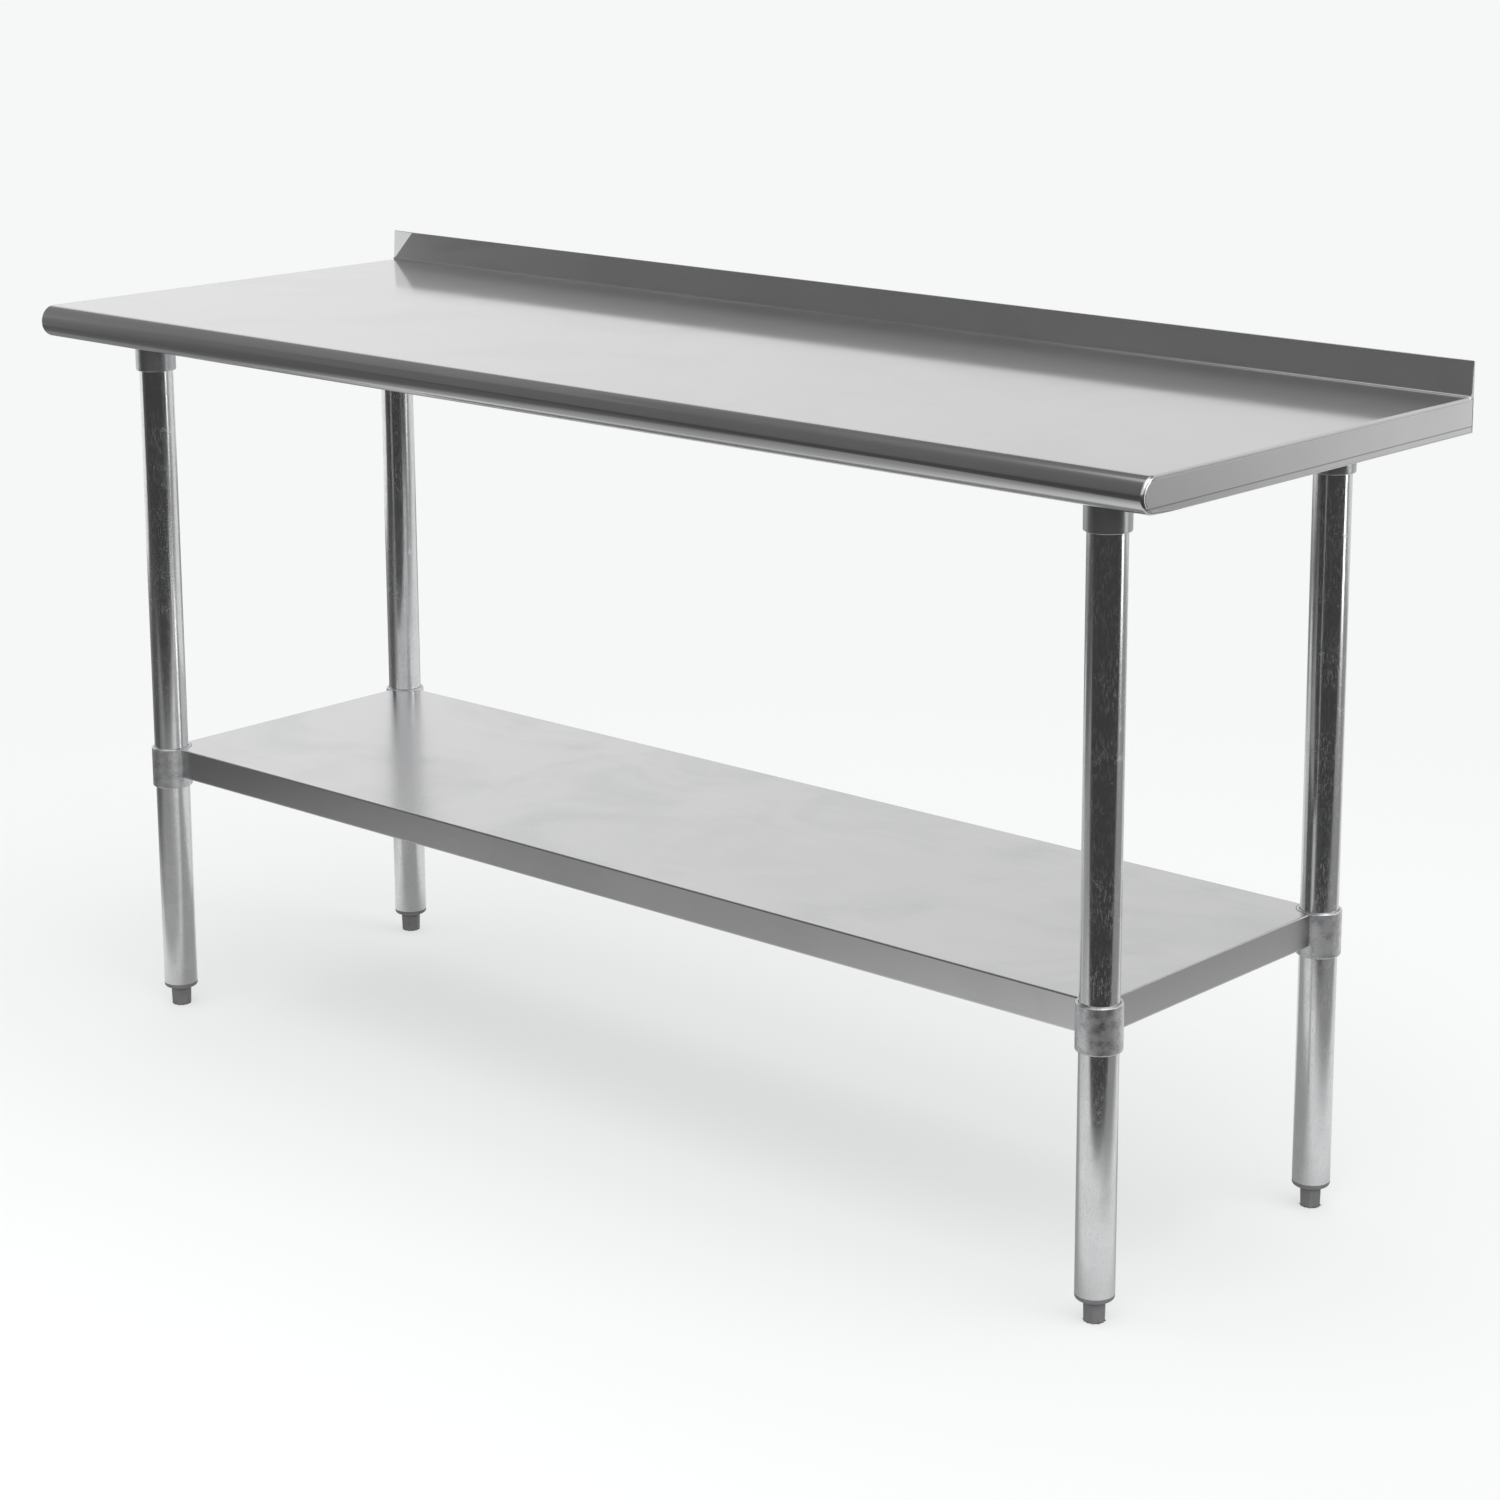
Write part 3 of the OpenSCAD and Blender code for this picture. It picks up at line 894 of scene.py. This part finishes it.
def thread(name, outer_d, core_d, pitch, length, segments=16):
    """A screw thread that rises from the origin: one tooth swept up a helix."""
    choose()
    bpy.ops.mesh.primitive_plane_add(size=1, location=(0, 0, 0))
    rod = bpy.context.object
    rod.name = name
    tooth = [
        (core_d / 2, -pitch),
        (outer_d / 2, -0.55 * pitch),
        (outer_d / 2, -0.4 * pitch),
        (core_d / 2, 0),
    ]
    bpy.ops.object.mode_set(mode="EDIT")
    bpy.ops.mesh.select_mode(type="EDGE")
    pick_all()
    bpy.ops.mesh.delete(type="ONLY_FACE")
    mesh = bmesh.from_edit_mesh(rod.data)
    corners = sorted(mesh.verts, key=lambda v: (v.co.x, v.co.y if v.co.x < 0 else -v.co.y))
    for corner, (radius, height) in zip(corners, tooth):
        corner.co = (radius, 0, height)
    for edge in list(mesh.edges):
        if sorted(corners.index(v) for v in edge.verts) == [0, 3]:
            mesh.edges.remove(edge)
    bmesh.update_edit_mesh(rod.data)
    use(
        rod,
        "SCREW",
        axis="Z",
        angle=2 * math.pi,
        screw_offset=pitch,
        iterations=math.ceil(length / pitch) + 1,
        steps=segments,
        render_steps=segments,
        use_merge_vertices=True,
        merge_threshold=TOUCH,
    )
    # cut it to length, square at both ends
    edit(rod)
    pick_all()
    bpy.ops.mesh.remove_doubles(threshold=TOUCH)
    for height, above in ((0.0, False), (length, True)):
        pick_all()
        bpy.ops.mesh.bisect(
            plane_co=(0, 0, height),
            plane_no=(0, 0, 1),
            clear_inner=not above,
            clear_outer=above,
            use_fill=True,
        )
    pick_all()
    bpy.ops.mesh.fill_holes(sides=8)
    bpy.ops.mesh.normals_make_consistent(inside=False)
    choose(rod)
    return rod


plated_steel = metal(
    "zinc_plate",
    (0.7, 0.7, 0.69),
    (0.55, 0.555, 0.55),
    zinc,
    {"Along": EVEN, "Crystal": 400.0, "Low": 0.22, "High": 0.4},
    0.2,
    0.0001,
)

cross_low, cross_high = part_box("cross_channel_right")
long_low, long_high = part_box("long_channel")
leg_x = (cross_low.x + cross_high.x) / 2
mid_y = (long_low.y + long_high.y) / 2
flange_mid = (cross_high.x - cross_low.x - FLANGE_W) / 2
long_pitch = (long_high.x - long_low.x - 2 * STUD_END) / 3
ENDS = (-1, 1)
stud_places = [
    (end * leg_x + side * flange_mid, mid_y + row * STUD_STEP_Y / 2)
    for end in ENDS
    for side in ENDS
    for row in ENDS
] + [
    (step * long_pitch, mid_y + side * flange_mid)
    for step in (-1.5, -0.5, 0.5, 1.5)
    for side in ENDS
]


def on_studs(piece, name, z, node, angle=35):
    """Puts a zinc-plated copy of the piece on every stud's centre line."""
    made = copies(piece, name, [(x, y, z) for x, y in stud_places])
    dress(made, plated_steel, "table_frame", node, angle)


stud = thread("stud", STUD_D, STUD_D * STUD_CORE, STUD_PITCH, STUD_L)
on_studs(stud, "welded_studs", ROOF_Z - STUD_L, "channel_studs", 30)

washer_z = ROOF_Z - CHANNEL_T - WASHER_T
washer_hole = STUD_D / 2 + 0.0005
washer = turned(
    "washer",
    [
        (washer_hole, 0),
        (WASHER_D / 2 - WASHER_EDGE, 0),
        (WASHER_D / 2, WASHER_EDGE),
        (WASHER_D / 2, WASHER_T),
        (washer_hole, WASHER_T),
        (washer_hole, 0),
    ],
    32,
)
on_studs(washer, "plain_washers", washer_z, "channel_washers")

nut_h = 0.85 * STUD_D
nut = hex_head("nut", NUT_AF, nut_h, NUT_CHAMFER, STUD_D + 0.0001)
on_studs(nut, "channel_nut_set", washer_z - nut_h, "channel_nuts")

# --- Leg sockets -----------------------------------------------------------------------
# A galvanised plate with rounded corners and a short tube welded under it, bolted to the
# channel's web. The leg stands in the tube and a set screw at the back holds it.
PLATE_T = 0.004
PLATE_CORNER = 0.006
PLATE_EDGE = 0.0004
SOCKET_WALL = 0.0032
SOCKET_EDGE = 0.0007
LEG_GAP = 0.00035
WELD_R = 0.0022
WELD_RIPPLE = 0.012

leg_boxes = {corner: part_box("leg_" + corner) for corner in ("fl", "fr", "bl", "br")}
leg_low, leg_high = leg_boxes["fl"]
leg_r = (leg_high.x - leg_low.x) / 2
leg_z, plate_z = leg_low.z, leg_high.z
centres = {
    corner: (round((low.x + high.x) / 2, 4), round((low.y + high.y) / 2, 4))
    for corner, (low, high) in leg_boxes.items()
}
socket_low, socket_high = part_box("leg_socket_fl")
sleeve_r = leg_r + LEG_GAP
socket_r = sleeve_r + SOCKET_WALL

socket_steel = metal(
    "galvanised_socket",
    (0.6, 0.605, 0.61),
    (0.44, 0.445, 0.455),
    zinc,
    {"Along": EVEN, "Crystal": 130.0, "Low": 0.24, "High": 0.42},
    0.35,
    0.0003,
)


def rounded_plate(name, low, high, z, thick, corner, steps, rims, edge):
    """A plate with rounded corners, and with the rims that pass a test eased."""
    plate = add_plane(name, low, high, z)
    edit(plate)
    pick_all()
    bpy.ops.mesh.bevel(offset=corner, segments=steps, affect="VERTICES")
    pick_all()
    draw_faces(z=thick)
    pick("EDGE", rims)
    round_folds(edge, 2)
    outwards()
    choose(plate)
    return plate


half_w = (socket_high.x - socket_low.x) / 2
half_l = (socket_high.y - socket_low.y) / 2
plate = rounded_plate(
    "plate",
    (-half_w, -half_l),
    (half_w, half_l),
    plate_z,
    PLATE_T,
    PLATE_CORNER,
    6,
    lambda points: near(points[0].z, points[1].z),
    PLATE_EDGE,
)
sleeve = turned(
    "sleeve",
    [
        (sleeve_r, plate_z),
        (sleeve_r, socket_low.z + SOCKET_EDGE),
        (sleeve_r + SOCKET_EDGE, socket_low.z),
        (socket_r - SOCKET_EDGE, socket_low.z),
        (socket_r, socket_low.z + SOCKET_EDGE),
        (socket_r, plate_z - WELD_R),
        (socket_r + WELD_R * 0.45, plate_z - WELD_R * 0.85),
        (socket_r + WELD_R * 0.85, plate_z - WELD_R * 0.45),
        (socket_r + WELD_R, plate_z),
        (sleeve_r, plate_z),
    ],
    72,
)
# the weld runs in small overlapping ripples
edit(sleeve)
ripple = bmesh.from_edit_mesh(sleeve.data)
for point in ripple.verts:
    if math.hypot(point.co.x, point.co.y) > socket_r + 0.2 * WELD_R:
        swell = 1 + WELD_RIPPLE * math.sin(36 * math.atan2(point.co.y, point.co.x))
        point.co.x *= swell
        point.co.y *= swell
bmesh.update_edit_mesh(sleeve.data)
sleeve = joined("sleeve", [sleeve, plate])


def at_each_leg(*rows):
    """Dresses a copy of each row's master on each leg's centre line; a body that ends in
    an underscore gets the leg's own ending, as the names do."""
    for corner, (x, y) in centres.items():
        for master, name, material, slot, body, node, angle in rows:
            piece = copy_of(master, name + corner, (x, y, 0))
            own = body + corner if body.endswith("_") else body
            dress(piece, material, own, node + corner, angle)
    remove(*[row[0] for row in rows])


at_each_leg(
    (sleeve, "socket_", socket_steel, "galvanised_socket", "table_frame", "leg_socket_", 35)
)

# --- Bolts and set screws of the sockets -----------------------------------------------
# Four zinc-plated hex bolts go up through each plate into weld nuts inside the channel.
# A black socket-head set screw goes into the back of each socket's tube.
BOLT_D = 0.008
BOLT_PITCH = 0.00125
BOLT_CORE = 0.84
BOLT_AF = 0.013
BOLT_HEAD = 0.00528
BOLT_CHAMFER = 0.0006
BOLT_L = 0.016

bolt_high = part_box("socket_bolts")[1]
bolt_x = bolt_high.x - BOLT_AF / 2 / math.cos(math.pi / 6) - centres["br"][0]
bolt_y = bolt_high.y - BOLT_AF / 2 - centres["br"][1]
bolt = hex_head("bolt", BOLT_AF, BOLT_HEAD, BOLT_CHAMFER)
shank = thread("shank", BOLT_D, BOLT_D * BOLT_CORE, BOLT_PITCH, BOLT_L)
shank.location = (0, 0, BOLT_HEAD)
bolt_places = [
    (x + i * bolt_x, y + j * bolt_y, plate_z - BOLT_HEAD)
    for x, y in centres.values()
    for i in ENDS
    for j in ENDS
]
bolts = copies(joined("bolt", [bolt, shank]), "plate_bolts", bolt_places)
dress(bolts, plated_steel, "table_frame", "socket_bolts", 30)

black_steel = metal(
    "black_oxide",
    (0.1, 0.1, 0.105),
    (0.05, 0.05, 0.055),
    zinc,
    {"Along": EVEN, "Crystal": 500.0, "Low": 0.35, "High": 0.55},
    0.3,
    0.0001,
)
for node, material in (
    ("socket_weld_nuts", plated_steel),
    ("socket_set_screws", black_steel),
    ("collar_set_screws", black_steel),
):
    carried = bpy.data.objects[node]
    carried.data.materials.clear()
    carried.data.materials.append(material)

# --- Legs ------------------------------------------------------------------------------
# Round galvanised tube, drawn bright: fine lines and scratches run up it, with dull
# flecks and small marks from handling. The cut ends are slightly rounded.
LEG_WALL = 0.0015
LEG_EDGE = 0.0004
GRAIN_ROUGH = 0.55

tube_metal, tree = new_material("galvanised_tube")
finish = add_node(tree, "ShaderNodeGroup", node_tree=zinc)
for key, value in {"Along": (1.0, 1.0, 0.03), "Crystal": 60.0, "Low": 0.1, "High": 0.24}.items():
    finish.inputs[key].default_value = value
place = object_place(tree)
flutes = noise(tree, stretched(tree, place, (1.0, 1.0, 0.012)), 170.0, 2.0)
flecks = ramp(tree, noise(tree, place, 55.0, 6.0, Roughness=0.7), 0.6, 0.68)
wear = weighed(tree, (finish.outputs["Roughness"], 1.0), (flecks, 0.12))
tone = two_tone(tree, finish.outputs["Tone"], (0.8, 0.805, 0.81, 1), (0.66, 0.665, 0.675, 1))
normal = relief(tree, flutes, 0.35, 0.0006)
normal = relief(tree, finish.outputs["Height"], 0.15, 0.0003, Normal=normal)
# fine scratches and dull grains scatter light over the mirror
scratches = stretched(tree, place, (1.0, 1.0, 0.22))
scratches = ramp(tree, noise(tree, scratches, 600.0, 3.0, Roughness=0.7), 0.46, 0.66)
patches = ramp(tree, noise(tree, place, 18.0, 3.0), 0.35, 0.65, 0.08, 0.34)
mirror = surface(tree, tone, wear, normal)
grains = surface(tree, tone, GRAIN_ROUGH, normal)
coat(None, tube_metal, mixed_shader(tree, product(tree, scratches, patches), mirror, grains))

bore_r = leg_r - LEG_WALL
leg = turned(
    "leg",
    [
        (leg_r, leg_z + LEG_EDGE),
        (leg_r, plate_z - LEG_EDGE),
        (leg_r - LEG_EDGE, plate_z),
        (bore_r + LEG_EDGE, plate_z),
        (bore_r, plate_z - LEG_EDGE),
        (bore_r, leg_z + LEG_EDGE),
        (bore_r + LEG_EDGE, leg_z),
        (leg_r - LEG_EDGE, leg_z),
        (leg_r, leg_z + LEG_EDGE),
    ],
    96,
)
at_each_leg((leg, "leg_tube_", tube_metal, "galvanised_tube", "table_frame", "leg_", 35))

# --- Undershelf ------------------------------------------------------------------------
# One galvanised sheet: all four edges are turned down and hemmed inwards, and each corner
# is notched round its leg's collar.
SHELF_T = 0.0012
SHELF_HEM = 0.012
SHELF_R = 0.0018
COLLAR_WALL = 0.0033
NOTCH_GAP = 0.0008

shelf_metal = metal(
    "galvanised_sheet",
    (0.7, 0.7, 0.705),
    (0.6, 0.605, 0.61),
    grain,
    {"Along": (0.03, 1.0, 1.0), "Fine": 800.0, "Low": 0.2, "High": 0.3},
    0.16,
    0.0002,
)

low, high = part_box("undershelf_sheet")
shelf_z, shelf_low_z = high.z, low.z
collar_r = sleeve_r + COLLAR_WALL
shelf = add_plane("undershelf", low, high, shelf_z)
edit(shelf)
for axis, edge, sign in (("y", low.y, 1), ("y", high.y, -1), ("x", low.x, 1), ("x", high.x, -1)):
    pick("EDGE", at(z=shelf_z, **{axis: edge}))
    draw_out(z=shelf_low_z - shelf_z)
    draw_out(**{axis: sign * SHELF_HEM})
    # mitre the hem's ends
    other = "xy".replace(axis, "")
    for end, step in ((getattr(low, other), SHELF_HEM), (getattr(high, other), -SHELF_HEM)):
        pick("VERT", at(z=shelf_low_z, **{axis: edge + sign * SHELF_HEM, other: end}))
        shift(**{other: step})
outwards()
pick(
    "EDGE",
    lambda points: (at(z=shelf_z)(points) or not near(points[0].z, points[1].z))
    and all(
        near(p.x, low.x) or near(p.x, high.x) or near(p.y, low.y) or near(p.y, high.y)
        for p in points
    ),
)
round_folds(SHELF_R, 4)
pick(
    "EDGE",
    lambda points: at(z=shelf_low_z)(points)
    and any(test(points) for test in (at(low.x), at(high.x), at(y=low.y), at(y=high.y))),
)
round_folds(SHELF_R, 3)
outwards()
use(shelf, "SOLIDIFY", thickness=SHELF_T, offset=-1)
notch_r = collar_r + NOTCH_GAP
for x, y in centres.values():
    notch = [(notch_r, shelf_low_z - SHELF_T), (notch_r, shelf_z + SHELF_T)]
    cutter = turned("cutter", notch, 96, True)
    cutter.location = (x, y, 0)
    bpy.context.view_layer.update()
    cut_away(shelf, cutter)
dress(shelf, shelf_metal, "undershelf", "undershelf_sheet", 30)

fold_channel("shelf_rib", "shelf_channel", 0, "undershelf")

# --- Shelf collars ---------------------------------------------------------------------
# Cast and tumbled collars slide on the legs. Each has an arm under the shelf that ends in
# a pad welded to the sheet, and a black set screw at the back near its lower rim.
ARM_L = 0.046
ARM_T = 0.008
ARM_TIP_H = 0.007
ARM_ROOT_Z = 0.016
ARM_R = 0.0015
FLARE = 0.006
PAD_W = 0.030
PAD_T = 0.004
PAD_CORNER = 0.004
PAD_EDGE = 0.0008
CHAMFER = 0.0014

cast_metal, tree = new_material("cast_tumbled")
place = object_place(tree)
skin = noise(tree, place, 640.0, 3.0, Roughness=0.75)
lumps = noise(tree, place, 90.0, 3.0)
pits = add_node(tree, "ShaderNodeTexVoronoi", {"Vector": place, "Scale": 260.0}).outputs[0]
rise = weighed(tree, (skin, 0.5), (lumps, 0.5), (ramp(tree, pits, 0.2, 0.05), -0.35))
tone = two_tone(
    tree, ramp(tree, rise, 0.32, 0.58), (0.44, 0.445, 0.455, 1), (0.76, 0.765, 0.775, 1)
)
rough = ramp(tree, lumps, 0.3, 0.7, 0.3, 0.38)
coat(None, cast_metal, surface(tree, tone, rough, relief(tree, rise, 0.3, 0.0002)))

collar_low, collar_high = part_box("shelf_collar_fl")
collar_z, collar_top_z = collar_low.z, collar_high.z
under_z = shelf_z - SHELF_T
collar = turned(
    "collar",
    [
        (sleeve_r, collar_z + CHAMFER / 2),
        (sleeve_r + CHAMFER / 2, collar_z),
        (collar_r - CHAMFER, collar_z),
        (collar_r - CHAMFER * 0.3, collar_z + CHAMFER * 0.35),
        (collar_r, collar_z + CHAMFER),
        (collar_r, collar_top_z - CHAMFER),
        (collar_r - CHAMFER * 0.3, collar_top_z - CHAMFER * 0.35),
        (collar_r - CHAMFER, collar_top_z),
        (sleeve_r + CHAMFER / 2, collar_top_z),
        (sleeve_r, collar_top_z - CHAMFER / 2),
        (sleeve_r, collar_z + CHAMFER / 2),
    ],
    96,
)

# the arm is drawn towards +X and flares where it joins the collar
tip_x = collar_r + ARM_L
root_x = sleeve_r + COLLAR_WALL / 2
arm_low = collar_z + ARM_ROOT_Z
root_h = under_z - arm_low
choose()
bpy.ops.mesh.primitive_plane_add(size=1, location=(root_x, 0, 0), rotation=(0, math.pi / 2, 0))
arm = bpy.context.object
arm.name = "arm"
apply_all()
edit(arm)
pick_all()
resize(1, ARM_T + 2 * FLARE, root_h, (root_x, 0, 0))
shift(z=(under_z + arm_low) / 2)
width, reach, depth = ARM_T + 2 * FLARE, root_x, root_h
for station_x, flare in (
    (collar_r + 0.0015, 0.55),
    (collar_r + 0.0035, 0.25),
    (collar_r + 0.007, 0.0),
    (tip_x, 0.0),
):
    share = (station_x - root_x) / (tip_x - root_x)
    new_width = ARM_T + 2 * FLARE * flare
    new_depth = root_h * (1 - share) + ARM_TIP_H * share
    draw_faces(x=station_x - reach)
    resize(1, new_width / width, new_depth / depth, (station_x, 0, under_z))
    width, reach, depth = new_width, station_x, new_depth
pick("FACE", at(x=root_x))
bpy.ops.mesh.delete(type="ONLY_FACE")
pick("EDGE", at(x=root_x))
bpy.ops.mesh.edge_face_add()
outwards()
pick(
    "EDGE",
    lambda points: max(point.z for point in points) < under_z - TOUCH
    and (abs(points[0].x - points[1].x) > TOUCH or at(x=tip_x)(points)),
)
round_folds(ARM_R, 3)
pad = rounded_plate(
    "pad",
    (tip_x - PAD_W, -PAD_W / 2),
    (tip_x, PAD_W / 2),
    under_z - PAD_T,
    PAD_T,
    PAD_CORNER,
    5,
    at(z=under_z - PAD_T),
    PAD_EDGE,
)
for corner, (x, y) in centres.items():
    # the arm points to the middle of the shelf
    inwards = math.atan2(-math.copysign(1, y), -math.copysign(1, x))
    parts = []
    for part, turn in ((collar, 0.0), (arm, inwards), (pad, inwards)):
        parts.append(copy_of(part, part.name + "_" + corner, (x, y, 0), turn))
        apply_all()
    whole = joined("collar_" + corner, parts)
    dress(whole, cast_metal, "undershelf", "shelf_collar_" + corner, 40)
remove(collar, arm, pad)

# --- Feet ------------------------------------------------------------------------------
# A grey plastic insert closes each leg with a domed ring. A hex foot of the same plastic
# hangs below it on a threaded steel stud, and is turned to level the table.
INSERT_GAP = 0.00005
INSERT_BORE = 0.00605
INSERT_LEAD = 0.0006
RING_H = 0.0055
RING_R = 0.004
RING_EDGE = 0.0003
FOOT_AF = 0.022
FOOT_H = 0.024
FOOT_TAPER = 0.94
FOOT_BAND = 0.003
FOOT_R = 0.0008
FOOT_EDGE = 0.0012
FOOT_RIM = 0.0005
GROOVE = 0.0004
STUD_SEAT = 0.0097
FOOT_STUD_D = 0.012
FOOT_STUD_CORE = 0.85
FOOT_STUD_PITCH = 0.00175

grey_plastic, tree = new_material("grey_plastic")
place = object_place(tree)
flow = noise(tree, place, 120.0, 4.0, Distortion=0.6)
scuffs = ramp(tree, noise(tree, place, 380.0, 5.0), 0.6, 0.7)
tone = two_tone(tree, flow, (0.115, 0.116, 0.119, 1), (0.175, 0.176, 0.18, 1))
rough = maths(tree, "ADD", product(tree, scuffs, 0.2), 0.42)
normal = relief(tree, noise(tree, place, 900.0, 2.0), 0.3, 0.0002)
coat(None, grey_plastic, surface(tree, tone, rough, normal, 0.0))

insert_low, insert_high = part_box("foot_insert_fl")
ring_z = insert_low.z
insert_r = bore_r - INSERT_GAP
dome = [
    (
        leg_r - RING_R + RING_R * math.cos(math.radians(turn)),
        ring_z + RING_R + RING_R * math.sin(math.radians(turn)),
    )
    for turn in range(-90, 1, 15)
]
insert = turned(
    "insert",
    [
        (INSERT_BORE + INSERT_LEAD, ring_z),
        *dome,
        (leg_r, ring_z + RING_H - RING_EDGE),
        (leg_r - RING_EDGE, ring_z + RING_H),
        (insert_r, ring_z + RING_H),
        (insert_r, insert_high.z - 0.001),
        (insert_r - 0.001, insert_high.z),
        (INSERT_BORE, insert_high.z),
        (INSERT_BORE, ring_z + INSERT_LEAD),
        (INSERT_BORE + INSERT_LEAD, ring_z),
    ],
    72,
)

# hex foot: tapers down, with a plain band at the top and a chamfered sole
hex_foot = hex_block("hex_foot", FOOT_AF, FOOT_H)
pick("VERT", at(z=0))
resize(FOOT_TAPER, FOOT_TAPER, 1, (0, 0, 0))
pick("EDGE", lambda points: abs(points[0].z - points[1].z) > 0.001)
round_folds(FOOT_R, 3)
pick("EDGE", at(z=0))
round_folds(FOOT_EDGE, 2)
pick("EDGE", at(z=FOOT_H))
round_folds(FOOT_RIM, 2)
groove_z = FOOT_H - FOOT_BAND
for cut_z in (groove_z - GROOVE, groove_z, groove_z + GROOVE):
    pick_all()
    bpy.ops.mesh.bisect(plane_co=(0, 0, cut_z), plane_no=(0, 0, 1))
pick("VERT", at(z=groove_z))
shrink = 1 - GROOVE / (FOOT_AF / 2 / math.cos(math.pi / 6))
resize(shrink, shrink, 1, (0, 0, groove_z))
# a shallow recess keeps only the sole's rim on the floor
pick("FACE", lambda points: at(z=0)(points) and len(points) > 6)
bpy.ops.mesh.inset(thickness=0.003, depth=0)
bpy.ops.mesh.inset(thickness=0.0006, depth=-0.0008)
outwards()
seat = [(INSERT_BORE, STUD_SEAT), (INSERT_BORE, FOOT_H + 0.002)]
cut_away(hex_foot, turned("bore", seat, 48, True))

stud_low, stud_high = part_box("foot_stud_fl")
foot_stud = thread(
    "foot_stud",
    FOOT_STUD_D,
    FOOT_STUD_D * FOOT_STUD_CORE,
    FOOT_STUD_PITCH,
    stud_high.z - stud_low.z,
    32,
)
foot_stud.location = (0, 0, stud_low.z)
apply_all()

at_each_leg(
    (insert, "insert_", grey_plastic, "grey_plastic", "table_frame", "foot_insert_", 30),
    (foot_stud, "thread_", plated_steel, "zinc_plated_steel", "foot_stud_", "foot_stud_", 30),
    (hex_foot, "foot_", grey_plastic, "grey_plastic", "hex_foot_", "hex_foot_", 35),
)
